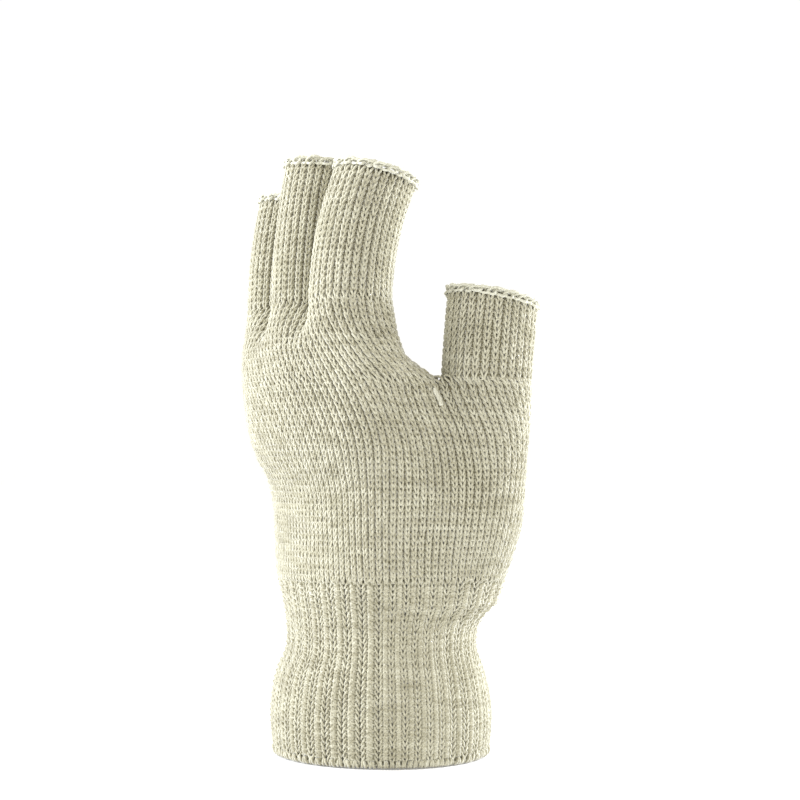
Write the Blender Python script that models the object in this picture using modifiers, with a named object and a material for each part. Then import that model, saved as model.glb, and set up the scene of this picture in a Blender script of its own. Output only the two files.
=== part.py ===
"""A left-hand fingerless glove in fine knitted yarn, standing on the mouth of its cuff.

The fingers point up (+Z), the palm faces +X and the thumb side faces -Y. The knitted
walls are shells lofted through the outlines of a hand, split where the fabric bends:
the wrist, and the foot of each finger and of the thumb.
"""

import math

import bmesh
import bpy
import numpy as np
from mathutils import Vector

MM = 0.001
WALL = 1.7 * MM  # thickness of the knitted wall
GAP = 0.3 * MM  # between neighbouring pieces

# heights above the cuff's mouth
HEM_HEIGHT = 3.0 * MM
HEM_ROUNDING = 0.5 * MM
CUFF_TOP = 22.5 * MM
WRIST_TOP = 47.5 * MM
THUMB_FOOT = 97.5 * MM
FINGER_FOOT = 118.0 * MM
THUMB_BEND = 8.0 * MM  # length of the zone that bends, above each foot
FINGER_BEND = 8.0 * MM

RIBS = 40
RIB_DEPTH = 0.35 * MM

# the wrist and palm at each height: how far back the ridge of the knuckles lies (X), half
# the thickness, half the width, how square the oval is, and how arched the row of knuckles is
OVAL = (
    (0.0, 0.0, 28.4, 30.4, 2.0, 0.0),
    (12.0, 0.0, 29.2, 31.0, 2.0, 0.0),
    (22.5, -0.2, 27.2, 29.8, 2.0, 0.0),
    (28.0, 0.0, 24.9, 28.6, 2.0, 0.0),
    (36.0, 0.0, 24.8, 29.0, 2.0, 0.0),
    (47.5, -4.0, 22.5, 31.5, 2.1, 0.1),
    (60.0, -7.2, 19.0, 34.5, 2.2, 0.2),
    (70.0, -10.2, 17.0, 37.5, 2.3, 0.4),
    (80.0, -17.0, 15.5, 40.0, 2.4, 0.7),
    (90.0, -20.9, 14.3, 41.0, 2.5, 0.9),
    (98.0, -22.8, 13.4, 41.5, 2.6, 1.0),
    (118.0, -23.6, 11.6, 41.2, 2.9, 1.0),
)
# the ball and foot of the thumb at each height: centre X, centre Y, radius, blend
THUMB = (
    (28.0, 6.0, -8.0, 17.0, 9.0),
    (38.0, 9.0, -13.0, 16.0, 9.0),
    (47.5, 11.0, -17.5, 15.5, 9.0),
    (60.0, 11.6, -26.0, 14.6, 8.0),
    (75.0, 12.0, -31.0, 13.2, 7.0),
    (90.0, 11.8, -36.0, 12.0, 4.0),
    (97.5, 11.6, -37.6, 11.6, 1.5),
)
# the web of cloth that rises from the thumb's foot to the side of the index finger
WEB = (
    (60.0, 0.0, -26.0, 8.0, 6.0),
    (80.0, -2.5, -30.0, 9.5, 6.0),
    (97.5, -8.7, -31.0, 9.2, 4.0),
    (100.0, -12.0, -31.0, 9.0, 4.0),
    (103.0, -17.0, -31.0, 8.8, 4.0),
    (108.0, -21.5, -31.0, 8.0, 4.0),
)
THUMB_SIDE = math.radians(130)  # the direction of the thumb's foot round the palm
THUMB_LEAN = 0.35  # how far the outline's middle moves towards the thumb on that side
THUMB_SWELL = 12.0 * MM  # height over which the ball of the thumb swells out of the wrist
RAYS = 240
RAY_LENGTH = 75.0 * MM
RAY_STEPS = 1501
SMOOTHING = 2
PALM_MIDDLE_Y = 0.5 * MM
RIDGE_Y = -8.0 * MM
ARCH_TO_INDEX = 0.005  # how fast the row of knuckles falls away on either side of its ridge
ARCH_TO_LITTLE = 0.000175

# each stall: name, foot centre (X, Y), rim centre (X, Y, Z), half width, half thickness, how
# far the rim tips towards the palm in degrees
FINGERS = (
    ("index", (-22.4, -30.3), (-15.4, -30.3, 148.0), 10.2, 10.6, 15.0),
    ("middle", (-23.8, -9.3), (-19.8, -9.3, 152.0), 10.2, 10.6, 7.0),
    ("ring", (-22.2, 11.7), (-18.6, 11.7, 145.0), 10.2, 10.6, 9.0),
    ("little", (-13.2, 32.2), (-9.6, 32.2, 135.0), 9.4, 9.8, 11.0),
)
THUMB_RIM = (12.2, -40.0, 118.0)
THUMB_HALF = 11.6
THUMB_TIP_ANGLE = 12.0
BINDING_RADIUS = 1.2 * MM
BINDING_SQUEEZE = 1.0 * MM  # the stalls stand so close that their bindings flatten
ELASTIC_RADIUS = 0.4 * MM
ELASTIC_HEIGHTS = (6.5 * MM, 11.0 * MM, 15.5 * MM, 20.0 * MM)
PINCH_START = 104.0 * MM
CROTCH_PINCH = 0.42  # how far the palm's faces close in between two fingers
CROTCH_HALF_WIDTH = 4.0 * MM
DARN_LONG = 4.0 * MM
DARN_HIGH = 2.0 * MM
# the loose end of the darning yarn, at the foot of the thumb
TAIL_ROUTE = (
    (-5.2, -42.0, 94.6),
    (-4.9, -42.4, 93.6),
    (-4.5, -42.8, 92.6),
    (-4.1, -43.2, 91.6),
    (-3.8, -43.7, 90.6),
)
TAIL_RADIUS = 0.6 * MM

WRIST_AXIS = (0.0, 0.0, 35.0 * MM)
FINGER_AXIS_HEIGHT = 121.0 * MM
FINGER_AXIS_FORWARD = 5.0 * MM
THUMB_AXIS_HEIGHT = 101.0 * MM
# moves the glove so that its box is centred over the origin
CENTRE_SHIFT = (3.4 * MM, 5.0 * MM)

MATERIALS = {
    "stockinette": ((0.56, 0.53, 0.44, 1.0), 0.92),
    "rib_knit": ((0.58, 0.55, 0.46, 1.0), 0.92),
    "edging": ((0.66, 0.63, 0.53, 1.0), 0.9),
    "darning": ((0.6, 0.57, 0.47, 1.0), 0.9),
    "elastic": ((0.75, 0.73, 0.66, 1.0), 0.6),
}


def clear_scene():
    for item in list(bpy.data.objects):
        bpy.data.objects.remove(item, do_unlink=True)


def make_materials():
    made = {}
    for name, (colour, roughness) in MATERIALS.items():
        material = bpy.data.materials.new(name)
        material.use_nodes = True
        shader = material.node_tree.nodes["Principled BSDF"]
        shader.inputs["Base Color"].default_value = colour
        shader.inputs["Roughness"].default_value = roughness
        shader.inputs["Metallic"].default_value = 0.0
        made[name] = material
    return made


def at_height(table, z):
    """The table's row at height z, eased between its rows, in metres where it is a size."""
    heights = np.array([row[0] for row in table]) * MM
    rows = np.array([row[1:] for row in table])
    place = int(np.clip(np.searchsorted(heights, z) - 1, 0, len(table) - 2))
    span = heights[place + 1] - heights[place]
    part = float(np.clip((z - heights[place]) / span, 0.0, 1.0))
    slopes = np.gradient(rows, heights, axis=0) * span
    low, high = rows[place], rows[place + 1]
    return (
        low * (1 + 2 * part) * (1 - part) ** 2
        + slopes[place] * part * (1 - part) ** 2
        + high * part**2 * (3 - 2 * part)
        + slopes[place + 1] * part**2 * (part - 1)
    )


def spine_x(y, ridge, arch):
    """X of the middle of the palm at width y: the row of knuckles is arched."""
    away = (y - RIDGE_Y) / MM
    bend = np.where(away < 0, ARCH_TO_INDEX * away**2, ARCH_TO_LITTLE * away**3)
    return ridge * MM + arch * bend * MM


def oval_distance(x, y, z):
    """Rough signed distance to the wrist's or palm's oval at height z."""
    ridge, half_thick, half_wide, square, arch = at_height(OVAL, z)
    thick = np.full_like(y, half_thick * MM)
    closing = np.clip((z - PINCH_START) / (FINGER_FOOT - PINCH_START), 0.0, 1.0) ** 1.5
    for a, b in zip(FINGERS[:-1], FINGERS[1:]):
        crotch = (a[1][1] + a[3] + b[1][1] - b[3]) / 2 * MM
        near = np.exp(-(((y - crotch) / CROTCH_HALF_WIDTH) ** 2))
        thick = thick * (1 - CROTCH_PINCH * closing * near)
    u = np.abs((y - PALM_MIDDLE_Y * arch) / (half_wide * MM))
    v = np.abs((x - spine_x(y, ridge, arch)) / thick)
    reach = (u**square + v**square) ** (1 / square)
    scale = np.where(v > u, thick, half_wide * MM * 0.6 + thick * 0.4)
    return (reach - 1) * scale


def join(a, b, soft):
    """Smooth union of two distances."""
    mix = np.clip(0.5 + 0.5 * (b - a) / soft, 0.0, 1.0)
    return b * (1 - mix) + a * mix - soft * mix * (1 - mix)


def hand_distance(x, y, z, with_thumb):
    found = oval_distance(x, y, z)
    if z > WEB[0][0] * MM and z < WEB[-1][0] * MM:
        cx, cy, radius, soft = at_height(WEB, z) * MM
        found = join(found, np.hypot(x - cx, y - cy) - radius, soft)
    if with_thumb and z > THUMB[0][0] * MM:
        cx, cy, radius, soft = at_height(THUMB, z) * MM
        rise = min(1.0, (z - THUMB[0][0] * MM) / THUMB_SWELL)
        found = join(found, np.hypot(x - cx, y - cy) - radius * rise, soft)
    return found


def hand_outline(z, count, with_thumb=True, inset=0.0):
    """Evenly spaced points round the hand at height z, traced out from the palm's middle."""
    ridge, half_thick, half_wide, _, arch = at_height(OVAL, z)
    turn = np.linspace(0, 2 * math.pi, RAYS, endpoint=False)
    start_y = PALM_MIDDLE_Y * arch + max(half_wide - half_thick, 0.0) * MM * np.cos(turn)
    start_x = spine_x(start_y, ridge, arch)
    out_x, out_y = np.sin(turn), np.cos(turn)
    if with_thumb and z > THUMB[0][0] * MM:
        cx, cy, _, _ = at_height(THUMB, z) * MM
        facing = np.clip(np.cos(turn - THUMB_SIDE), 0.0, 1.0) ** 1.5
        start_x = start_x + THUMB_LEAN * facing * (cx - start_x)
        start_y = start_y + THUMB_LEAN * facing * (cy - start_y)
    reach = np.linspace(0, RAY_LENGTH, RAY_STEPS)
    x = start_x[:, None] + reach * out_x[:, None]
    y = start_y[:, None] + reach * out_y[:, None]
    inside = hand_distance(x, y, z, with_thumb) + inset < 0
    last = reach[inside.shape[1] - 1 - np.argmax(inside[:, ::-1], axis=1)]
    traced = np.stack([start_x + last * out_x, start_y + last * out_y], axis=1)
    # spread evenly along the outline, which also carries the cloth straight over a hollow
    closed = np.vstack([traced, traced[:1]])
    length = np.append(0.0, np.cumsum(np.hypot(*np.diff(closed, axis=0).T)))
    even = np.linspace(0.0, length[-1], count, endpoint=False)
    ring = np.stack([np.interp(even, length, closed[:, axis]) for axis in (0, 1)], axis=1)
    for _ in range(SMOOTHING):
        ring = 0.5 * ring + 0.25 * (np.roll(ring, 1, axis=0) + np.roll(ring, -1, axis=0))
    return [Vector((px, py, z)) for px, py in ring]


def stall_frame(foot, rim, tip_angle, part):
    """Centre and tilt of a stall's cross-section, part of the way from foot to rim."""
    foot, rim = Vector(foot), Vector(rim)
    bend = part**2.2  # the stall leaves the palm upright and bends over near its rim
    centre = Vector((
        foot.x + (rim.x - foot.x) * (0.25 * part + 0.75 * bend),
        foot.y + (rim.y - foot.y) * part,
        foot.z + (rim.z - foot.z) * part,
    ))
    return centre, math.radians(tip_angle) * part**1.3


def stall_ring(foot, rim, half_y, half_x, tip_angle, part, count, squeeze=0.0):
    centre, tilt = stall_frame(foot, rim, tip_angle, part)
    ring = []
    for i in range(count):
        turn = 2 * math.pi * i / count
        across = (half_x - squeeze / 2) * math.sin(turn)
        along = (half_y - squeeze) * math.cos(turn)
        ring.append(
            centre + Vector((across * math.cos(tilt), along, -across * math.sin(tilt)))
        )
    return ring


def inset_ring(ring, depth):
    """The ring moved inwards in its own plane by depth."""
    count = len(ring)
    facing = Vector()
    for i, place in enumerate(ring):
        facing += place.cross(ring[(i + 1) % count])
    facing.normalize()
    moved = []
    for i, place in enumerate(ring):
        along = ring[(i + 1) % count] - ring[i - 1]
        moved.append(place + facing.cross(along).normalized() * depth)
    return moved


def loft(name, rings, material, depth=WALL):
    """A tube wall with square rims: up through the rings outside and down again inside."""
    inner = [inset_ring(ring, depth) for ring in reversed(rings)]
    bm = bmesh.new()
    row = bmesh.ops.create_circle(bm, segments=len(rings[0]), radius=1.0)["verts"]
    edges = list(bm.edges)
    for vertex, place in zip(row, rings[0]):
        vertex.co = place
    for ring in [*rings[1:], *inner, rings[0]]:
        made = bmesh.ops.extrude_edge_only(bm, edges=edges)["geom"]
        fresh = {piece for piece in made if isinstance(piece, bmesh.types.BMVert)}
        edges = [piece for piece in made if isinstance(piece, bmesh.types.BMEdge)]
        row = [
            next(edge.other_vert(old) for edge in old.link_edges if edge.other_vert(old) in fresh)
            for old in row
        ]
        for vertex, place in zip(row, ring):
            vertex.co = place
    bmesh.ops.remove_doubles(bm, verts=bm.verts, dist=MM / 1000)
    bmesh.ops.recalc_face_normals(bm, faces=bm.faces)
    mesh = bpy.data.meshes.new(name)
    bm.to_mesh(mesh)
    bm.free()
    return add_object(name, mesh, material)


def cord_ring(name, ring, radius, material):
    """A closed yarn or binding that follows the ring."""
    curve = bpy.data.curves.new(name, "CURVE")
    curve.dimensions = "3D"
    curve.bevel_depth = radius
    curve.bevel_resolution = 1
    spline = curve.splines.new("POLY")
    spline.points.add(len(ring) - 1)
    for point, place in zip(spline.points, ring):
        point.co = (*place, 1.0)
    spline.use_cyclic_u = True
    return add_object(name, curve, material)


def add_object(name, data, material):
    item = bpy.data.objects.new(name, data)
    item.data.materials.append(material)
    collection.objects.link(item)
    return item


def joint_empty(name, place, parent=None):
    item = bpy.data.objects.new(name, None)
    item.empty_display_size = 0.01
    collection.objects.link(item)
    item.location = place
    item.parent = parent
    return item


def hang(pieces, joint, axis_place):
    """Parents pieces to a joint's empty, leaving them where they were modelled."""
    for piece in pieces:
        piece.parent = joint
        piece.location = -Vector(axis_place)


def make_cuff():
    levels = np.linspace(HEM_HEIGHT + GAP, CUFF_TOP, 5)
    rib = loft("cuff_rib", [ribbed(z) for z in levels], mats["rib_knit"])
    hem = make_hem()
    threads = []
    for number, z in enumerate(ELASTIC_HEIGHTS, 1):
        depth = WALL + RIB_DEPTH + GAP + ELASTIC_RADIUS
        ring = hand_outline(z, 48, inset=depth)
        threads.append(
            cord_ring(f"elastic_thread_{number}", ring, ELASTIC_RADIUS, mats["elastic"])
        )
    return [rib, hem, *threads]


def ribbed(z):
    """The cuff's outline with its ribs standing out."""
    ring = hand_outline(z, 2 * RIBS)
    middle = sum(ring, Vector()) / len(ring)
    for i, place in enumerate(ring):
        out = (place - middle).normalized()
        ring[i] = place + out * (RIB_DEPTH if i % 2 == 0 else 0.0)
    return ring


def make_hem():
    """The turned edge of the cuff's mouth: flat underneath, rounded at its sides."""
    rings = [hand_outline(z, 64) for z in (0.0, HEM_HEIGHT)]
    hem = loft("cuff_hem", rings, mats["rib_knit"], depth=WALL + RIB_DEPTH)
    edge = hem.modifiers.new("rounded", "BEVEL")
    edge.width = HEM_ROUNDING
    edge.segments = 2
    edge.limit_method = "ANGLE"
    edge.angle_limit = math.radians(60)
    return hem


def make_palm():
    wrist_levels = np.linspace(CUFF_TOP + GAP, WRIST_TOP, 6)
    wrist = loft("wrist_rib", [ribbed(z) for z in wrist_levels], mats["rib_knit"])
    lower_levels = np.linspace(WRIST_TOP + GAP, THUMB_FOOT, 9)
    lower = loft(
        "palm_lower", [hand_outline(z, 64) for z in lower_levels], mats["stockinette"]
    )
    upper_levels = np.linspace(THUMB_FOOT + GAP, FINGER_FOOT, 6)
    upper = loft(
        "palm_upper",
        [hand_outline(z, 72, with_thumb=False) for z in upper_levels],
        mats["stockinette"],
    )
    return [wrist, lower, upper]


def make_stall(name, foot, rim, half_y, half_x, tip_angle, bend_length):
    """A stall's bending foot, its tube and the binding round its rim."""
    height = rim[2] - foot[2]
    bend_end = bend_length / height
    tube_end = 1 - (BINDING_RADIUS + 2 * GAP) / height
    shape = (foot, rim, half_y, half_x, tip_angle)
    foot_parts = np.linspace(GAP / height, bend_end - GAP / height, 3)
    root = loft(
        f"stall_root_{name}",
        [stall_ring(*shape, part, 28) for part in foot_parts],
        mats["stockinette"],
    )
    tube_parts = np.linspace(bend_end, tube_end, 5)
    tube = loft(
        f"stall_{name}",
        [stall_ring(*shape, part, 28) for part in tube_parts],
        mats["stockinette"],
    )
    ring = stall_ring(*shape, 1.0, 28, squeeze=BINDING_SQUEEZE)
    binding = cord_ring(f"binding_{name}", ring, BINDING_RADIUS, mats["edging"])
    return root, tube, binding


def list_stalls():
    """Each stall's name, shape in metres, bending length and the place of its joint."""
    stalls = [
        (
            name,
            (x * MM, y * MM, FINGER_FOOT),
            tuple(v * MM for v in rim),
            half_y * MM,
            half_x * MM,
            angle,
            FINGER_BEND,
            (x * MM + FINGER_AXIS_FORWARD, y * MM, FINGER_AXIS_HEIGHT),
        )
        for name, (x, y), rim, half_y, half_x, angle in FINGERS
    ]
    x, y, _, _ = at_height(THUMB, THUMB_FOOT) * MM
    stalls.append((
        "thumb",
        (x, y, THUMB_FOOT),
        tuple(v * MM for v in THUMB_RIM),
        THUMB_HALF * MM,
        THUMB_HALF * MM,
        THUMB_TIP_ANGLE,
        THUMB_BEND,
        (x, y, THUMB_AXIS_HEIGHT),
    ))
    return stalls


def make_darn(name, centre, size, material):
    """A few stitches that close the corner between two stalls, as one small pad."""
    bm = bmesh.new()
    bmesh.ops.create_cube(bm, size=1.0)
    for vertex in bm.verts:
        vertex.co = Vector(v * s for v, s in zip(vertex.co, size)) + Vector(centre)
    bmesh.ops.bevel(
        bm, geom=bm.edges, offset=min(size) * 0.35, segments=2, affect="EDGES", profile=0.5
    )
    mesh = bpy.data.meshes.new(name)
    bm.to_mesh(mesh)
    bm.free()
    return add_object(name, mesh, material)


def make_darns():
    made = []
    for a, b in zip(FINGERS[:-1], FINGERS[1:]):
        y = (a[1][1] + a[3] + b[1][1] - b[3]) / 2 * MM
        ridge, half_thick, _, _, arch = at_height(OVAL, FINGER_FOOT)
        x = float(spine_x(np.array(y), ridge, arch))
        deep = 2 * (half_thick * MM * (1 - CROTCH_PINCH) - WALL - 2 * GAP)
        centre = (x, y, FINGER_FOOT - DARN_HIGH / 2)
        size = (deep, DARN_LONG, DARN_HIGH)
        made.append(make_darn(f"darn_{a[0]}_{b[0]}", centre, size, mats["darning"]))
    cx, cy, _, _ = at_height(THUMB, THUMB_FOOT) * MM
    wx, wy, reach, _ = at_height(WEB, THUMB_FOOT) * MM
    towards = Vector((cx - wx, cy - wy, 0.0)).normalized()
    centre = Vector((wx, wy, THUMB_FOOT - DARN_HIGH / 2)) + towards * reach
    size = (DARN_LONG, DARN_LONG, DARN_HIGH)
    made.append(make_darn("darn_thumb", centre, size, mats["darning"]))
    return made


def make_yarn_tail():
    """The cut end of the darning yarn, lying on the outside at the foot of the thumb."""
    curve = bpy.data.curves.new("yarn_tail", "CURVE")
    curve.dimensions = "3D"
    curve.bevel_depth = TAIL_RADIUS
    curve.bevel_resolution = 1
    curve.use_fill_caps = True
    spline = curve.splines.new("POLY")
    spline.points.add(len(TAIL_ROUTE) - 1)
    for point, place in zip(spline.points, TAIL_ROUTE):
        point.co = (*(v * MM for v in place), 1.0)
    return add_object("yarn_tail", curve, mats["darning"])


clear_scene()
collection = bpy.data.collections.new("fingerless_glove")
bpy.context.scene.collection.children.link(collection)
mats = make_materials()

glove = joint_empty("glove_frame", (*CENTRE_SHIFT, 0.0))
wrist_joint = joint_empty("wrist_joint", WRIST_AXIS, glove)
hang(make_cuff(), glove, (0.0, 0.0, 0.0))
hang([*make_palm(), *make_darns(), make_yarn_tail()], wrist_joint, WRIST_AXIS)

for name, foot, rim, half_y, half_x, angle, bend_length, axis in list_stalls():
    root, tube, binding = make_stall(name, foot, rim, half_y, half_x, angle, bend_length)
    hang([root], wrist_joint, WRIST_AXIS)
    bend_joint = joint_empty(f"{name}_joint", Vector(axis) - Vector(WRIST_AXIS), wrist_joint)
    hang([tube, binding], bend_joint, axis)
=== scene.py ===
import math

import bmesh
import bpy
import numpy as np
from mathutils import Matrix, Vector


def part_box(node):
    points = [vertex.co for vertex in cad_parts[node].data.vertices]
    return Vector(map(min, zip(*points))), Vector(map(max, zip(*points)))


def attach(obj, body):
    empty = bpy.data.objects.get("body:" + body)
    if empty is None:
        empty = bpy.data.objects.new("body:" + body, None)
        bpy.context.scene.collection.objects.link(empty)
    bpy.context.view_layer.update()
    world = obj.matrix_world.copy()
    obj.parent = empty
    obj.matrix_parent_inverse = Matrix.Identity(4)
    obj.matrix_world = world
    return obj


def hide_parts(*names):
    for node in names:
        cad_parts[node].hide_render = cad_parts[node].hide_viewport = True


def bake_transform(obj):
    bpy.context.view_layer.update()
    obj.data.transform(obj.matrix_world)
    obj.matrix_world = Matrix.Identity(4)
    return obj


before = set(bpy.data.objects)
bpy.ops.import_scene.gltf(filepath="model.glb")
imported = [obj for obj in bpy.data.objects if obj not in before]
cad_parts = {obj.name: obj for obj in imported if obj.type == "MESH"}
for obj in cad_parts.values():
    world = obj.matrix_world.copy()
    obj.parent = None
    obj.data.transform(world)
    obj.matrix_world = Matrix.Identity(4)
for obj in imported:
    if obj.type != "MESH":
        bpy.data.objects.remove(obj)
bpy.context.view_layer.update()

# ---------------------------------------------------------------- camera, light and floor
# A long lens at the height of the palm looks level at the thumb side. One wide soft light
# stands behind on the left, one on the right and a weak one in front, over a pale floor.
MM = 0.001
hand_axis = Vector((3.4, 5.0, 77.5)) * MM
CAMERA_AWAY = 520
VIEW_DEGREES = 25
FLOOR_RADIUS = 6.0
FLOOR_DROP = 0.02 * MM
camera_data = bpy.data.cameras.new("camera")
camera_data.sensor_width = 36.0
camera_data.lens = 88.3
camera_data.shift_x = 0.024
camera_data.shift_y = 0.075
camera_data.clip_start = 0.01
camera = bpy.data.objects.new("camera", camera_data)
bpy.context.scene.collection.objects.link(camera)
view_turn = math.radians(VIEW_DEGREES)
view_along = Vector((math.sin(view_turn), math.cos(view_turn), 0.0))
camera.location = hand_axis - view_along * CAMERA_AWAY * MM
camera.rotation_euler = (math.radians(90), 0.0, -view_turn)
bpy.context.scene.camera = camera
bpy.context.scene.view_settings.view_transform = "Standard"


def soft_light(name, place, width, power, colour):
    lamp_data = bpy.data.lights.new(name, "AREA")
    lamp_data.shape = "DISK"
    lamp_data.size = width
    lamp_data.energy = power
    lamp_data.color = colour
    lamp = bpy.data.objects.new(name, lamp_data)
    bpy.context.scene.collection.objects.link(lamp)
    lamp.location = place
    lamp.rotation_euler = (hand_axis - Vector(place)).to_track_quat("-Z", "Y").to_euler()


soft_light("light_left", (-1.2, 0.6, 0.6), 0.7, 31.0, (0.87, 0.91, 1.0))
soft_light("light_right", (1.22, 0.0, 0.5), 0.5, 29.0, (0.88, 0.92, 1.0))
soft_light("light_front", (0.15, -1.1, 0.8), 0.6, 1.8, (1.0, 0.98, 0.92))
world = bpy.data.worlds.new("studio")
world.use_nodes = True
world.node_tree.nodes["Background"].inputs["Color"].default_value = (1.0, 0.985, 0.955, 1.0)
world.node_tree.nodes["Background"].inputs["Strength"].default_value = 1.05
bpy.context.scene.world = world

floor_mesh = bpy.data.meshes.new("floor")
bm = bmesh.new()
bmesh.ops.create_circle(bm, cap_ends=True, segments=96, radius=FLOOR_RADIUS)
bmesh.ops.translate(bm, verts=bm.verts, vec=(0, 0, -FLOOR_DROP))
bm.to_mesh(floor_mesh)
bm.free()
floor = bpy.data.objects.new("floor", floor_mesh)
bpy.context.scene.collection.objects.link(floor)
pale_paint = bpy.data.materials.new("pale_floor")
pale_paint.use_nodes = True
pale_shader = pale_paint.node_tree.nodes["Principled BSDF"]
pale_shader.inputs["Base Color"].default_value = (0.8, 0.8, 0.8, 1)
pale_shader.inputs["Roughness"].default_value = 0.9
pale_shader.inputs["Emission Color"].default_value = (1.0, 1.0, 1.0, 1)
pale_shader.inputs["Emission Strength"].default_value = 0.2
floor_mesh.materials.append(pale_paint)

# ---------------------------------------------------------------- the cuff's rib
# Two wales a rib, 40 ribs round: one of face stitches in the valley, one of purl stitches
# that stands out as a smooth band. One closed loop of heather yarn makes each course.
# Sizes are in mm. The first table is the wrist and palm at each height: how far back the
# ridge lies, half the thickness, half the width, how square and how arched the oval is.
OVAL = (
    (0.0, 0.0, 28.4, 30.4, 2.0, 0.0),
    (12.0, 0.0, 29.2, 31.0, 2.0, 0.0),
    (22.5, -0.2, 27.2, 29.8, 2.0, 0.0),
    (28.0, 0.0, 24.9, 28.6, 2.0, 0.0),
    (36.0, 0.0, 24.8, 29.0, 2.0, 0.0),
    (47.5, -4.0, 22.5, 31.5, 2.1, 0.1),
    (60.0, -7.2, 19.0, 34.5, 2.2, 0.2),
    (70.0, -10.2, 17.0, 37.5, 2.3, 0.4),
    (80.0, -17.0, 15.5, 40.0, 2.4, 0.7),
    (90.0, -20.9, 14.3, 41.0, 2.5, 0.9),
    (98.0, -22.8, 13.4, 41.5, 2.6, 1.0),
    (118.0, -23.6, 11.6, 41.2, 2.9, 1.0),
)
# the ball of the thumb at each height: centre X, centre Y, radius, blend
THUMB = (
    (28.0, 6.0, -8.0, 17.0, 9.0),
    (38.0, 9.0, -13.0, 16.0, 9.0),
    (47.5, 11.0, -17.5, 15.5, 9.0),
    (60.0, 11.6, -26.0, 14.6, 8.0),
    (75.0, 12.0, -31.0, 13.2, 7.0),
    (90.0, 11.8, -36.0, 12.0, 4.0),
    (97.5, 11.6, -37.6, 11.6, 1.5),
)
# the web of cloth between the thumb's foot and the index finger, in the same way
WEB = (
    (60.0, 0.0, -26.0, 8.0, 6.0),
    (80.0, -2.5, -30.0, 9.5, 6.0),
    (97.5, -8.7, -31.0, 9.2, 4.0),
    (100.0, -12.0, -31.0, 9.0, 4.0),
    (103.0, -17.0, -31.0, 8.8, 4.0),
    (108.0, -21.5, -31.0, 8.0, 4.0),
)
# where the wale that ends in the thumb's corner lies, X and Y, and how far right of the
# hand's middle lies the one that runs up the far side of the index finger
CORNER_WALE = (
    (47.5, 6.9, -32.5), (60.0, 5.4, -39.2), (75.0, 4.7, -42.0), (85.0, 2.2, -42.2),
    (92.0, 0.3, -39.6), (97.5, 0.0, -35.2), (100.0, -3.8, -34.8), (103.0, -9.0, -34.7),
    (106.0, -12.5, -34.5), (110.0, -13.2, -34.6), (118.0, -13.2, -34.6),
)
FAR_WALE = (
    (47.5, -0.5), (60.0, -0.75), (72.0, -0.75), (82.5, -1.2), (95.0, -6.0), (105.0, -12.2),
    (110.0, -15.0), (118.0, -16.6),
)
FAR_NUMBER = 12
# each stall: name, foot, rim, half width, half thickness, how far its rim tips in degrees
FINGERS = (
    ("index", (-22.4, -30.3, 118.0), (-15.4, -30.3, 148.0), 10.2, 10.6, 15.0),
    ("middle", (-23.8, -9.3, 118.0), (-19.8, -9.3, 152.0), 10.2, 10.6, 7.0),
    ("ring", (-22.2, 11.7, 118.0), (-18.6, 11.7, 145.0), 10.2, 10.6, 9.0),
    ("little", (-13.2, 32.2, 118.0), (-9.6, 32.2, 135.0), 9.4, 9.8, 11.0),
    ("thumb", (11.6, -37.6, 97.5), (12.2, -40.0, 118.0), 11.6, 11.6, 12.0),
)
CROTCHES = (-19.8, 0.9, 22.3)
CENTRE = np.array((3.4, 5.0, 0.0))
RIDGE_Y = -8.0
PINCH_START, FINGER_FOOT = 104.0, 118.0
CROTCH_PINCH, CROTCH_HALF_WIDTH = 0.42, 4.0
BRANCH_START = 106.0
CORE_DEPTH = 3.5  # how far inside the palm the cloth may sink between two stalls
THUMB_SWELL = 12.0
THUMB_FOOT = 97.5
COLUMNS_A_WALE = 4


def at_height(table, z):
    heights = np.array([row[0] for row in table])
    rows = np.array([row[1:] for row in table])
    place = int(np.clip(np.searchsorted(heights, z) - 1, 0, len(table) - 2))
    span = heights[place + 1] - heights[place]
    part = float(np.clip((z - heights[place]) / span, 0.0, 1.0))
    slopes = np.gradient(rows, heights, axis=0) * span
    low, high = rows[place], rows[place + 1]
    return (
        low * (1 + 2 * part) * (1 - part) ** 2
        + slopes[place] * part * (1 - part) ** 2
        + high * part**2 * (3 - 2 * part)
        + slopes[place + 1] * part**2 * (part - 1)
    )


def spine(y, ridge, arch):
    away = y - RIDGE_Y
    return ridge + arch * np.where(away < 0, 0.005 * away**2, 0.000175 * away**3)


def join(a, b, soft):
    mix = np.clip(0.5 + 0.5 * (b - a) / soft, 0.0, 1.0)
    return b * (1 - mix) + a * mix - soft * mix * (1 - mix)


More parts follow.
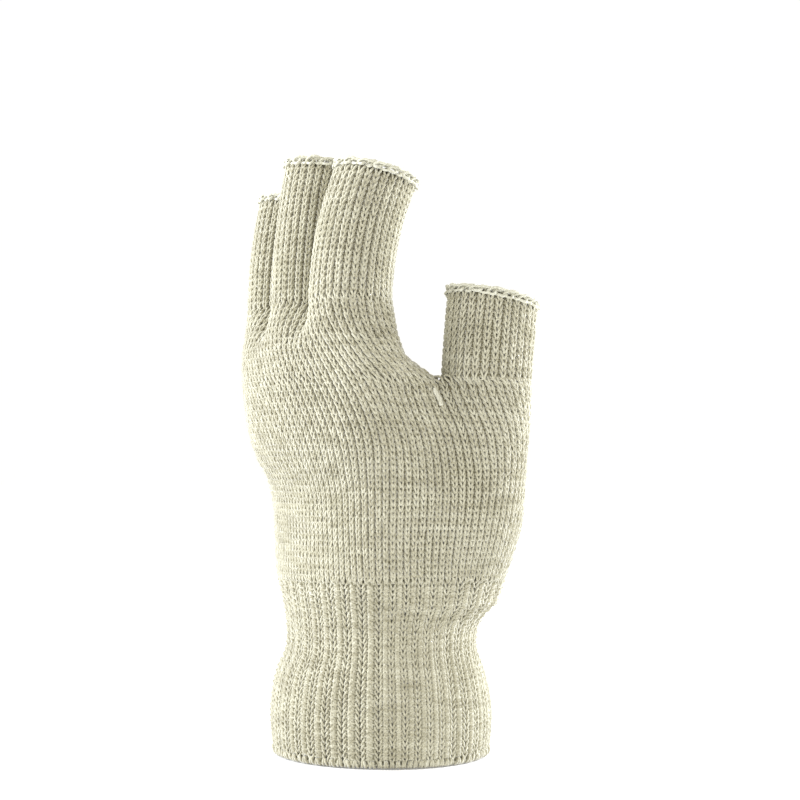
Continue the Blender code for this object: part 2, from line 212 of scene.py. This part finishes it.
def depth_in_hand(x, y, z, with_thumb):
    ridge, thick, wide, square, arch = at_height(OVAL, z)
    thick = np.full_like(y, thick)
    closing = np.clip((z - PINCH_START) / (FINGER_FOOT - PINCH_START), 0.0, 1.0) ** 1.5
    for crotch in CROTCHES:
        thick = thick * (1 - CROTCH_PINCH * closing * np.exp(-(((y - crotch) / CROTCH_HALF_WIDTH) ** 2)))
    u = np.abs((y - 0.5 * arch) / wide)
    v = np.abs((x - spine(y, ridge, arch)) / thick)
    found = ((u**square + v**square) ** (1 / square) - 1) * np.where(
        v > u, thick, wide * 0.6 + thick * 0.4
    )
    if WEB[0][0] < z < WEB[-1][0]:
        cx, cy, radius, soft = at_height(WEB, z)
        found = join(found, np.hypot(x - cx, y - cy) - radius, soft)
    branching = np.clip((z - BRANCH_START) / (FINGER_FOOT - BRANCH_START), 0.0, 1.0)
    if branching > 0:
        tubes = np.full_like(y, 99.0)
        for _, foot, _, half_y, half_x, _ in FINGERS[:4]:
            reach = np.hypot((x - foot[0]) / half_x, (y - foot[1]) / half_y)
            tubes = join(tubes, (reach - 1) * half_y, 2.0)
        core = found + CORE_DEPTH
        found = np.minimum(found * (1 - branching) + tubes * branching, core)
    if with_thumb and z > THUMB[0][0]:
        cx, cy, radius, soft = at_height(THUMB, z)
        radius = radius * min(1.0, (z - THUMB[0][0]) / THUMB_SWELL)
        found = join(found, np.hypot(x - cx, y - cy) - radius, soft)
    return found


def outline(z, with_thumb=True):
    """The hand's outline at height z in mm, as evenly spaced points with the palm's side first."""
    ridge, thick, wide, _, arch = at_height(OVAL, z)
    turn = np.linspace(0, 2 * math.pi, 240, endpoint=False)
    start_y = 0.5 * arch + max(wide - thick, 0.0) * np.cos(turn)
    start_x = spine(start_y, ridge, arch)
    if with_thumb and z > THUMB[0][0]:
        cx, cy, _, _ = at_height(THUMB, z)
        facing = 0.35 * np.clip(np.cos(turn - math.radians(130)), 0.0, 1.0) ** 1.5
        start_x = start_x + facing * (cx - start_x)
        start_y = start_y + facing * (cy - start_y)
    reach = np.linspace(0, 75, 376)
    x = start_x[:, None] + reach * np.sin(turn)[:, None]
    y = start_y[:, None] + reach * np.cos(turn)[:, None]
    deep = depth_in_hand(x, y, z, with_thumb)
    last = deep.shape[1] - 1 - np.argmax(deep[:, ::-1] < 0, axis=1)
    rows = np.arange(len(turn))
    inner, outer = deep[rows, last], deep[rows, last + 1]
    edge = reach[last] + (reach[1] - reach[0]) * inner / (inner - outer)
    traced = np.stack([start_x + edge * np.sin(turn), start_y + edge * np.cos(turn)], axis=1)
    ring = spread(traced, np.linspace(0, 1, 480, endpoint=False))
    for _ in range(8):
        ring = 0.5 * ring + 0.25 * (np.roll(ring, 1, axis=0) + np.roll(ring, -1, axis=0))
    return ring


def spread(ring, parts):
    """Points of the closed ring at these parts of its length."""
    closed = np.vstack([ring, ring[:1]])
    length = np.append(0.0, np.cumsum(np.linalg.norm(np.diff(closed, axis=0), axis=1)))
    place = (np.asarray(parts) % 1.0) * length[-1]
    return np.stack([np.interp(place, length, closed[:, axis]) for axis in range(ring.shape[1])], axis=1)


def part_nearest(ring, x, y):
    """How far round the ring, from 0 to 1, its point nearest to x, y lies."""
    fine = spread(ring, np.linspace(0, 1, 4800, endpoint=False))
    return int(np.argmin(np.hypot(fine[:, 0] - x, fine[:, 1] - y))) / 4800


def part_across(ring, right):
    """How far round the ring, from 0 to 1, the point on its near side this far right lies."""
    fine = spread(ring, np.linspace(0, 1, 4800, endpoint=False))
    across = fine @ np.array((view_along.y, -view_along.x))
    away = fine @ np.array((view_along.x, view_along.y))
    return int(np.argmin(np.abs(across - right) + 0.08 * away)) / 4800


def hand_cloth(low, high, step, wales, with_thumb=True):
    """The cloth's grid between two heights: rows up, four columns a wale, from the corner wale."""
    heights = np.arange(low - 2 * step, high + 2.01 * step, step)
    number = np.arange(wales * COLUMNS_A_WALE) / COLUMNS_A_WALE
    grid = []
    for z in heights:
        ring = outline(z, with_thumb)
        corner = part_nearest(ring, *at_height(CORNER_WALE, z))
        far_right = at_height(FAR_WALE, z)[0]
        far = (part_across(ring, far_right) - corner) % 1.0
        parts = np.interp(number, (0, FAR_NUMBER, wales), (0.0, far, 1.0))
        row = spread(ring, corner + parts)
        grid.append(np.column_stack([row, np.full(len(row), z)]))
    return {"grid": np.array(grid) + CENTRE, "low": heights[0], "step": step}


def cloth_normals(grid):
    round_it = np.roll(grid, -1, axis=1) - np.roll(grid, 1, axis=1)
    upward = np.gradient(grid, axis=0)
    normal = np.cross(upward, round_it)
    return normal / np.linalg.norm(normal, axis=2, keepdims=True)


def on_cloth(cloth, across, up, out):
    """Points on the cloth: across from 0 to 1 round it, up in mm and out in mm."""
    grid = cloth["grid"]
    if "normals" not in cloth:
        cloth["normals"] = cloth_normals(grid)
    rows, columns = grid.shape[:2]
    row = np.clip((up - cloth["low"]) / cloth["step"], 0, rows - 1.001)
    column = (across % 1.0) * columns
    i = row.astype(int)
    j = column.astype(int) % columns
    k = (j + 1) % columns
    f = (row - i)[..., None]
    g = (column - np.floor(column))[..., None]

    def blended(values):
        return (values[i, j] * (1 - g) + values[i, k] * g) * (1 - f) + (
            values[i + 1, j] * (1 - g) + values[i + 1, k] * g
        ) * f

    return blended(grid) + blended(cloth["normals"]) * out[..., None]


def yarn_loops(name, loops, radii, material, closed=True, sides=0):
    """A mesh of yarn that follows these paths, in mm."""
    curve = bpy.data.curves.new(name, "CURVE")
    curve.dimensions = "3D"
    curve.bevel_depth = 1.0
    curve.bevel_resolution = sides
    curve.use_fill_caps = True
    for path, radius in zip(loops, radii):
        spline = curve.splines.new("POLY")
        spline.points.add(len(path) - 1)
        spline.points.foreach_set("co", np.column_stack([path * MM, np.ones(len(path))]).ravel())
        spline.points.foreach_set("radius", np.broadcast_to(radius * MM, len(path)).astype(float))
        spline.use_cyclic_u = closed
        spline.use_smooth = True
    drawn = bpy.data.objects.new(name + "_path", curve)
    bpy.context.scene.collection.objects.link(drawn)
    bpy.context.view_layer.update()
    mesh = bpy.data.meshes.new_from_object(drawn.evaluated_get(bpy.context.evaluated_depsgraph_get()))
    mesh.name = name
    bpy.data.objects.remove(drawn)
    bpy.data.curves.remove(curve)
    mesh.materials.clear()
    mesh.materials.append(material)
    mesh.shade_smooth()
    round_yarn = 4 + 2 * sides
    lengths = []
    for path in loops:
        steps = np.linalg.norm(np.diff(path, axis=0), axis=1)
        lengths.append(np.repeat(np.append(0.0, np.cumsum(steps)), round_yarn))
    along = np.concatenate(lengths)
    turn = np.tile(np.arange(round_yarn) * 2 * math.pi / round_yarn, len(along) // round_yarn)
    twist = mesh.attributes.new("yarn_twist", "FLOAT_VECTOR", "POINT")
    if len(mesh.vertices) == len(along):
        twist.data.foreach_set("vector", np.column_stack([along, np.cos(turn), np.sin(turn)]).ravel())
    made = bpy.data.objects.new(name, mesh)
    bpy.context.scene.collection.objects.link(made)
    return made


chance = np.random.default_rng(7)
STITCH_POINTS = 12
YARN = 0.33  # the yarn's radius
LEAN = 0.25  # how far a leg leans, in wales
LOOP_HIGH = 0.98  # half a loop's height, in courses
LEG_RISE, HEAD_DROP = 0.42, 0.1  # how far the legs stand out and the heads lie in
CLOTH_DEPTH = 0.85  # from the hand's outline in to the middle of the yarn
WALE_RIDGE, WALE_SQUEEZE = 0.13, 0.05
RIB_STEP, RIB_WIDEN = 0.26, 0.13


def knit(name, cloth, wales, courses, pitch, material, ribbed=False, waver=0.05):
    """Knits one closed loop of yarn for each course height."""
    loops, radii = [], []
    t = np.arange(wales * STITCH_POINTS) * 2 * math.pi / STITCH_POINTS
    stitch = (t / (2 * math.pi) + 0.5).astype(int) % wales
    for z in courses:
        lift = chance.normal(0, waver, wales)[stitch] * pitch
        slide = chance.normal(0, waver * 0.4, wales)[stitch]
        across = t / (2 * math.pi) + LEAN * np.sin(2 * t) + slide
        up = z + LOOP_HIGH * pitch * np.cos(t) + lift
        across = across - WALE_SQUEEZE * np.sin(2 * math.pi * across)
        face = -LEG_RISE * np.cos(2 * t) - HEAD_DROP * np.cos(t)
        out = -CLOTH_DEPTH + WALE_RIDGE * np.cos(2 * math.pi * across)
        radius = YARN * (1 + chance.normal(0, 0.05, len(t)))
        if ribbed:
            turn = np.cos(math.pi * across)
            side = np.clip(3 * turn, -1, 1)
            face = side * face * (1 + 0.45 * np.minimum(side, 0))
            out = -CLOTH_DEPTH - RIB_STEP * turn
            radius = radius * (1 - 0.22 * np.minimum(side, 0))
            across = across + RIB_WIDEN * np.sin(math.pi * across)
        loops.append(on_cloth(cloth, across / wales, up, out + face))
        radii.append(radius)
    return yarn_loops(name, loops, radii, material)


class Paint:
    """A socket in a material's nodes. Sums on it add their Math nodes."""

    def __init__(self, tree, socket=None):
        self.tree = tree
        self.socket = socket

    def node(self, kind, settings, values, output=0):
        made = self.tree.nodes.new(kind)
        for name, value in settings.items():
            if name == "stops":
                for number, (place, colour) in enumerate(value):
                    stops = made.color_ramp.elements
                    stop = stops[number] if number < 2 else stops.new(place)
                    stop.position = place
                    stop.color = (*colour, 1.0)
            else:
                setattr(made, name, value)
        for name, value in values.items():
            if isinstance(value, Paint):
                self.tree.links.new(value.socket, made.inputs[name])
            else:
                made.inputs[name].default_value = value
        return Paint(self.tree, made.outputs[output])

    def __add__(self, other):
        return self.node("ShaderNodeMath", {"operation": "ADD"}, {0: self, 1: other})

    def __mul__(self, other):
        return self.node("ShaderNodeMath", {"operation": "MULTIPLY"}, {0: self, 1: other})

    def wave(self, operation):
        return self.node("ShaderNodeMath", {"operation": operation}, {0: self})

    __radd__ = __add__
    __rmul__ = __mul__


def yarn_finish(name, pale, middle, dark, roughness):
    """Heather yarn: pale and dark fibres carded together, so streaks run along each course."""
    material = bpy.data.materials.new(name)
    material.use_nodes = True
    tree = material.node_tree
    shader = tree.nodes["Principled BSDF"]
    shader.inputs["Sheen Weight"].default_value = 0.6
    shader.inputs["Sheen Roughness"].default_value = 0.5
    shader.inputs["Specular IOR Level"].default_value = 0.2
    paint = Paint(tree)
    place = paint.node("ShaderNodeTexCoord", {}, {}, "Object")
    around = paint.node("ShaderNodeMapping", {}, {"Vector": place, "Scale": (110.0, 110.0, 640.0)})
    streaks = paint.node("ShaderNodeTexNoise", {}, {"Vector": around, "Scale": 1.0, "Detail": 2.0})
    clouds = paint.node("ShaderNodeTexNoise", {}, {"Vector": place, "Scale": 70.0, "Detail": 1.0})
    hairs = paint.node("ShaderNodeTexNoise", {}, {"Vector": place, "Scale": 2400.0, "Detail": 2.0})
    lie = paint.node("ShaderNodeAttribute", {"attribute_name": "yarn_twist"}, {}, "Vector")
    run = paint.node("ShaderNodeSeparateXYZ", {}, {"Vector": lie}, "X")
    cosine = Paint(tree, run.socket.node.outputs["Y"])
    sine = Paint(tree, run.socket.node.outputs["Z"])
    turned = run * (2 * math.pi / PLY_PITCH)
    ply = turned.wave("SINE") * cosine + turned.wave("COSINE") * sine
    flecks = paint.node(
        "ShaderNodeTexNoise",
        {"noise_dimensions": "1D"},
        {"W": run * 0.7, "Scale": 1.0, "Detail": 2.0},
    )
    tone = streaks * 0.36 + flecks * 0.36 + hairs * 0.16 + clouds * 0.12 + ply * 0.035
    stops = ((0.34, dark), (0.66, pale), (0.5, middle))
    colour = paint.node("ShaderNodeValToRGB", {"stops": stops}, {"Fac": tone})
    tree.links.new(colour.socket, shader.inputs["Base Color"])
    rough = roughness + hairs * 0.12
    tree.links.new(rough.socket, shader.inputs["Roughness"])
    relief = ply * 0.5 + hairs * 0.9
    fuzz = paint.node("ShaderNodeBump", {}, {"Height": relief, "Strength": 0.6, "Distance": 0.00008})
    tree.links.new(fuzz.socket, shader.inputs["Normal"])
    return material


def painted_shade_finish(name, colour):
    """Flat dark colour for the sheet behind the stitches: painted shade, the shadow seen through the
    gaps between them.
    """
    material = bpy.data.materials.new(name)
    material.use_nodes = True
    shader = material.node_tree.nodes["Principled BSDF"]
    shader.inputs["Base Color"].default_value = colour
    shader.inputs["Roughness"].default_value = 0.95
    return material


PLY_PITCH = 0.95
heather = yarn_finish(
    "heather_yarn", (0.58, 0.56, 0.43), (0.46, 0.435, 0.315), (0.31, 0.285, 0.185), 0.8
)
edging = yarn_finish(
    "edging_yarn", (0.70, 0.69, 0.57), (0.60, 0.585, 0.465), (0.45, 0.43, 0.32), 0.8
)
# Painted shade: flat dark colours for the shadow in the gaps between stitches, a little lighter behind
# the rib.
painted_shade = painted_shade_finish("painted_shade", (0.20, 0.18, 0.11, 1))
rib_painted_shade = painted_shade_finish("rib_painted_shade", (0.25, 0.235, 0.155, 1))


def painted_shade_sheet(name, cloth, low, high, deep, material):
    """A thin sheet with closed rims behind the stitches, to carry the painted shade seen through the
    gaps between them.
    """
    grid = cloth["grid"]
    columns = grid.shape[1] // 2 if np.isscalar(deep) else len(deep)
    across = np.arange(columns) / columns
    bm = bmesh.new()
    row = bmesh.ops.create_circle(bm, segments=columns, radius=1.0)["verts"]
    edges = list(bm.edges)
    levels = np.linspace(low, high, max(2, int(round((high - low) / 1.5)) + 1))
    for number, z in enumerate(levels):
        if number:
            made = bmesh.ops.extrude_edge_only(bm, edges=edges)["geom"]
            fresh = {piece for piece in made if isinstance(piece, bmesh.types.BMVert)}
            edges = [piece for piece in made if isinstance(piece, bmesh.types.BMEdge)]
            row = [
                next(e.other_vert(old) for e in old.link_edges if e.other_vert(old) in fresh)
                for old in row
            ]
        places = on_cloth(cloth, across, np.full(columns, z), np.broadcast_to(-deep, columns)) * MM
        for vertex, place in zip(row, places):
            vertex.co = place
    bmesh.ops.recalc_face_normals(bm, faces=bm.faces)
    bmesh.ops.solidify(bm, geom=bm.faces, thickness=0.2 * MM)
    bmesh.ops.recalc_face_normals(bm, faces=bm.faces)
    mesh = bpy.data.meshes.new(name)
    bm.to_mesh(mesh)
    bm.free()
    mesh.materials.append(material)
    for face in mesh.polygons:
        face.use_smooth = True
    made = bpy.data.objects.new(name, mesh)
    bpy.context.scene.collection.objects.link(made)
    return made


def lay_flat(shade_sheet, cloth, low, high, *pieces):
    """Adds up the length round each row of the cloth, and does nothing with it. Declares a
    backing as cloth. It is taken to be 1 / SLACK times as wide worn as it is off.
    """
    around = [np.linalg.norm(np.roll(row, -1, axis=0) - row, axis=1).sum() for row in cloth["grid"]]
    (high - low) * MM


RIB_WALES = 80
COURSE = 1.5
CUFF_TOP, WRIST_TOP = 22.5, 47.5
# how deep the sheets of painted shade lie behind the stitches, deeper behind the rib's face stitches
SHADE_SHEET_DEPTH = 1.0
RIB_DEPTH = 0.95 + 0.45 * np.cos(math.pi * np.arange(RIB_WALES * COLUMNS_A_WALE) / COLUMNS_A_WALE)
cuff_cloth = hand_cloth(0.0, 24.0, 1.0, RIB_WALES)
cuff_courses = np.arange(2.4, CUFF_TOP, COURSE)
cuff_yarn = knit("cuff_yarn", cuff_cloth, RIB_WALES, cuff_courses, COURSE, heather, ribbed=True)
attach(cuff_yarn, "cuff")
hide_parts("cuff_rib")
# Behind the rib lies a dark sheet of painted shade, for the shadow in the gaps between stitches.
cuff_shade_sheet = painted_shade_sheet("cuff_shade_layer", cuff_cloth, 1.2, CUFF_TOP, RIB_DEPTH, rib_painted_shade)
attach(cuff_shade_sheet, "cuff")

# ---------------------------------------------------------------- the cuff's edge
# The first courses are turned in and caught down, so the mouth of the cuff ends in a soft
# round edge. One yarn passes down the outside, under the edge and up the inside.
HEM_PASSES = 176
PASS_POINTS = 10
t = np.arange(HEM_PASSES * PASS_POINTS) * math.pi / PASS_POINTS
swing = 0.5 - 0.5 * np.cos(t)
bend = math.pi * (1.35 * swing - 0.25)
rib_turn = np.cos(RIB_WALES * t / HEM_PASSES)
hem_path = on_cloth(
    cuff_cloth,
    t / (math.pi * HEM_PASSES),
    1.45 - 1.02 * np.sin(np.clip(bend, -0.6, math.pi + 0.3)),
    -1.15 - 0.16 * rib_turn + 0.72 * np.cos(bend),
)
hem = yarn_loops("hem_yarn", [hem_path], [0.4], heather)
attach(hem, "cuff")
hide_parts("cuff_hem")
lay_flat(cuff_shade_sheet, cuff_cloth, 0, CUFF_TOP, cuff_yarn, hem)

# ---------------------------------------------------------------- the wrist's rib
# The same ribs run on up over the wrist without a seam, over the stretch where the wrist bends.
wrist_cloth = hand_cloth(CUFF_TOP, WRIST_TOP, 1.0, RIB_WALES)
wrist_courses = np.arange(23.4, 47.4, COURSE)
wrist_yarn = knit("wrist_yarn", wrist_cloth, RIB_WALES, wrist_courses, COURSE, heather, ribbed=True)
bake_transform(wrist_yarn)
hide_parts("wrist_rib")
# A dark sheet of painted shade lies behind the wrist's rib.
wrist_shade_sheet = painted_shade_sheet("wrist_shade_layer", wrist_cloth, CUFF_TOP, WRIST_TOP, RIB_DEPTH, rib_painted_shade)
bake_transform(wrist_shade_sheet)
lay_flat(wrist_shade_sheet, wrist_cloth, CUFF_TOP, WRIST_TOP, wrist_yarn)

# ---------------------------------------------------------------- the palm
# Plain stockinette in the same yarn, with the ball of the thumb shaped into it. It is knitted
# as one tube, and drawn as two pieces so that neither holds too many faces.
PALM_WALES = 112
palm_cloth = hand_cloth(WRIST_TOP, THUMB_FOOT, 1.0, PALM_WALES)
middle = 47.6 + COURSE * 17
palm_yarns = []
for name, low, high in (("palm_yarn_low", 47.6, middle - 0.1), ("palm_yarn_high", middle, 98.0)):
    piece = knit(name, palm_cloth, PALM_WALES, np.arange(low, high, COURSE), COURSE, heather)
    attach(piece, "hand")
    palm_yarns.append(piece)
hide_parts("palm_lower")
# A dark sheet of painted shade lies behind the palm's stitches.
palm_shade_sheet = painted_shade_sheet("palm_shade_layer", palm_cloth, WRIST_TOP, THUMB_FOOT, SHADE_SHEET_DEPTH, painted_shade)
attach(palm_shade_sheet, "hand")
lay_flat(palm_shade_sheet, palm_cloth, WRIST_TOP, THUMB_FOOT, *palm_yarns)

# ---------------------------------------------------------------- the knuckles
# Above the thumb's foot the tube goes on round the four fingers alone, in the same stitch,
# and draws in between them near its top.
UPPER_WALES = 93
upper_cloth = hand_cloth(THUMB_FOOT, FINGER_FOOT, 1.0, UPPER_WALES, with_thumb=False)
knuckle_yarn = knit(
    "knuckle_yarn", upper_cloth, UPPER_WALES, np.arange(98.6, FINGER_FOOT, COURSE), COURSE, heather
)
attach(knuckle_yarn, "hand")
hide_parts("palm_upper")
# A dark sheet of painted shade lies behind the knuckles' stitches.
knuckle_shade_sheet = painted_shade_sheet(
    "knuckle_shade_layer", upper_cloth, THUMB_FOOT, FINGER_FOOT, SHADE_SHEET_DEPTH, painted_shade
)
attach(knuckle_shade_sheet, "hand")
lay_flat(knuckle_shade_sheet, upper_cloth, THUMB_FOOT, FINGER_FOOT, knuckle_yarn)

# ---------------------------------------------------------------- the stalls
# Five open tubes in the same stitch, knitted on from the palm. Each rim is finished with a
# chain of paler yarn, drawn as two strands whose loops pass over one another.
STALL_WALES = 30
STALL_START, STALL_START_THUMB = 0.1, 1.1
FIRST_TURN, FIRST_TURN_THUMB = 115, 295
LINK_LENGTH, LINK_POINTS = 4.2, 20
RIM_YARN = 0.4


def stall_cloth(foot, rim, half_y, half_x, tip_angle, wales, first_turn):
    """A stall's cloth, in the same form as the hand's, and its height."""
    foot, rim = np.array(foot), np.array(rim)
    height = rim[2] - foot[2]
    heights = np.arange(-2.0, height + 2.01, 1.0)
    columns = np.arange(wales * COLUMNS_A_WALE) / (wales * COLUMNS_A_WALE)
    turn = math.radians(first_turn) + 2 * math.pi * columns
    grid = []
    for up in heights:
        part = max(up / height, 0.0)
        centre = np.array((
            foot[0] + (rim[0] - foot[0]) * (0.25 * part + 0.75 * part**2.2),
            foot[1] + (rim[1] - foot[1]) * part,
            foot[2] + up,
        ))
        tilt = math.radians(tip_angle) * part**1.3
        across, along = half_x * np.sin(turn), half_y * np.cos(turn)
        grid.append(centre + np.column_stack([across * math.cos(tilt), along, -across * math.sin(tilt)]))
    return {"grid": np.array(grid) + CENTRE, "low": -2.0, "step": 1.0}, height


for name, foot, rim, half_y, half_x, tip_angle in FINGERS:
    first_turn = FIRST_TURN_THUMB if name == "thumb" else FIRST_TURN
    first_course = STALL_START_THUMB if name == "thumb" else STALL_START
    cloth, height = stall_cloth(foot, rim, half_y, half_x, tip_angle, STALL_WALES, first_turn)
    courses = np.arange(first_course, height - 0.5, COURSE)
    yarn = knit(f"stall_yarn_{name}", cloth, STALL_WALES, courses, COURSE, heather)
    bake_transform(yarn)
    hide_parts(f"stall_{name}", f"stall_root_{name}")
    # A dark sheet of painted shade lies behind the stall's stitches.
    shade_sheet = painted_shade_sheet(f"stall_shade_layer_{name}", cloth, 0.0, height - 0.4, SHADE_SHEET_DEPTH, painted_shade)
    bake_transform(shade_sheet)
    ring = cloth["grid"][int(round(height)) + 2]
    centre = ring.mean(axis=0)
    axis = np.cross(ring[0] - centre, ring[len(ring) // 4] - centre)
    axis *= np.sign(axis[2]) / np.linalg.norm(axis)
    length = np.linalg.norm(np.roll(ring, -1, axis=0) - ring, axis=1).sum()
    links = int(round(length / LINK_LENGTH))
    strands = []
    for phase in (0.0, 0.5):
        t = np.arange(links * LINK_POINTS) * 2 * math.pi / LINK_POINTS
        link = (t / (2 * math.pi)).astype(int)
        reach = 0.5 + chance.normal(0, 0.06, links)[link]
        rise = 0.72 + chance.normal(0, 0.1, links)[link]
        core = spread(ring, (t / (2 * math.pi) + phase + reach * np.sin(t)) / links)
        outward = core - centre
        outward /= np.linalg.norm(outward, axis=1, keepdims=True)
        up = rise * np.cos(t) + 0.12 * np.sin(3 * t)
        out = -0.35 + 0.42 * np.sin(2 * t + 0.6) + (0.25 if phase else -0.15)
        strands.append(core + outward * out[:, None] + axis * (up + 0.1)[:, None])
    rim = yarn_loops(f"rim_{name}", strands, [RIM_YARN, RIM_YARN], edging)
    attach(rim, name)
    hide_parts(f"binding_{name}")
    lay_flat(shade_sheet, cloth, 0.0, height, yarn, rim)

# ---------------------------------------------------------------- darns and loose end
# A few stitches of the same yarn draw each corner between two stalls shut. The last of them,
# at the thumb's corner, is left hanging out as a short cut end of two plies.
DARN_YARN = 0.36
TAIL_PLY, TAIL_TWIST = 0.3, 2.2
STITCH_REACH = 16.0


def corner_stitches(rim, post, reach):
    """Passes to and fro between the palm's rim and the foot of the thumb, laid side by side."""
    fine = spread(rim, np.linspace(0, 1, 700, endpoint=False))
    away = fine - np.array((post[0], post[1], 0.0))
    away[:, 2] = 0
    distance = np.linalg.norm(away, axis=1)
    facing = away @ (rim.mean(axis=0) - post)
    halfway = fine - away * (0.5 - 0.5 * reach / distance)[:, None] - CENTRE
    covered = np.array([
        float(depth_in_hand(np.array([x]), np.array([y]), THUMB_FOOT, True)[0]) < -0.5
        for x, y, _ in halfway
    ])
    close = np.flatnonzero((distance < reach + STITCH_REACH) & (facing > 0) & covered)
    gaps = np.append(np.diff(close), close[0] + len(fine) - close[-1])
    start = (int(np.argmax(gaps)) + 1) % len(close)
    path = []
    for number, place in enumerate(np.roll(close, -start)[::2]):
        on_palm = fine[place] + away[place] / distance[place] * 0.6
        on_thumb = fine[place] - away[place] * (1 - reach / distance[place])
        ends = (on_palm, on_thumb) if number % 2 else (on_thumb, on_palm)
        path.extend(ends[0] * (1 - part) + ends[1] * part for part in (0.0, 0.5, 1.0))
    return np.array(path) - np.array((0, 0, 0.2))


for name in ("darn_index_middle", "darn_middle_ring", "darn_ring_little", "darn_thumb"):
    low_corner, high_corner = (np.array(corner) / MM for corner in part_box(name))
    middle_of = (low_corner + high_corner) / 2
    half = (high_corner - low_corner) / 2
    t = np.linspace(0, 1, 90)
    path = middle_of + np.column_stack([
        half[0] * (1.7 * t - 0.85),
        half[1] * 0.7 * np.cos(t * 9 * math.pi),
        half[2] * (0.45 * np.sin(t * 9 * math.pi) + 0.25 * np.sin(t * math.pi) - 0.1),
    ])
    if name == "darn_thumb":
        thumb_foot = np.array((*FINGERS[-1][1][:2], 0.0)) + CENTRE
        path = corner_stitches(upper_cloth["grid"][2], thumb_foot, 11.4)
    darn = yarn_loops(f"{name}_yarn", [path], [DARN_YARN], heather, closed=False)
    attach(darn, "hand")
    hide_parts(name)

tail_path = np.array((
    (-5.2, -42.0, 95.0),
    (-4.9, -42.5, 93.9),
    (-4.4, -42.8, 92.9),
    (-4.0, -43.0, 91.8),
    (-3.8, -43.2, 90.9),
)) + CENTRE
fine = np.linspace(0, 4, 25)
core = np.column_stack([np.interp(fine, range(5), tail_path[:, axis]) for axis in range(3)])
plies = []
for side in (-1, 1):
    turn = fine * TAIL_TWIST + side * math.pi / 2
    plies.append(core + 0.27 * np.column_stack([np.cos(turn), -0.5 * np.sin(turn), 0.2 * np.sin(turn)]))
# The cut end is drawn in the paler edging yarn, so it shows lighter than the darns it ends.
tail = yarn_loops("tail_yarn", plies, [TAIL_PLY, TAIL_PLY], edging, closed=False, sides=1)
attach(tail, "hand")
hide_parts("yarn_tail")

# ---------------------------------------------------------------- elastic threads
# Four covered rubber threads are laid into the ribs on the inside of the cuff.
elastic = yarn_finish(
    "elastic_thread", (0.74, 0.73, 0.68), (0.66, 0.65, 0.6), (0.56, 0.55, 0.5), 0.6
)
for number in range(1, 5):
    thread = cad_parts[f"elastic_thread_{number}"]
    thread.data.materials.clear()
    thread.data.materials.append(elastic)
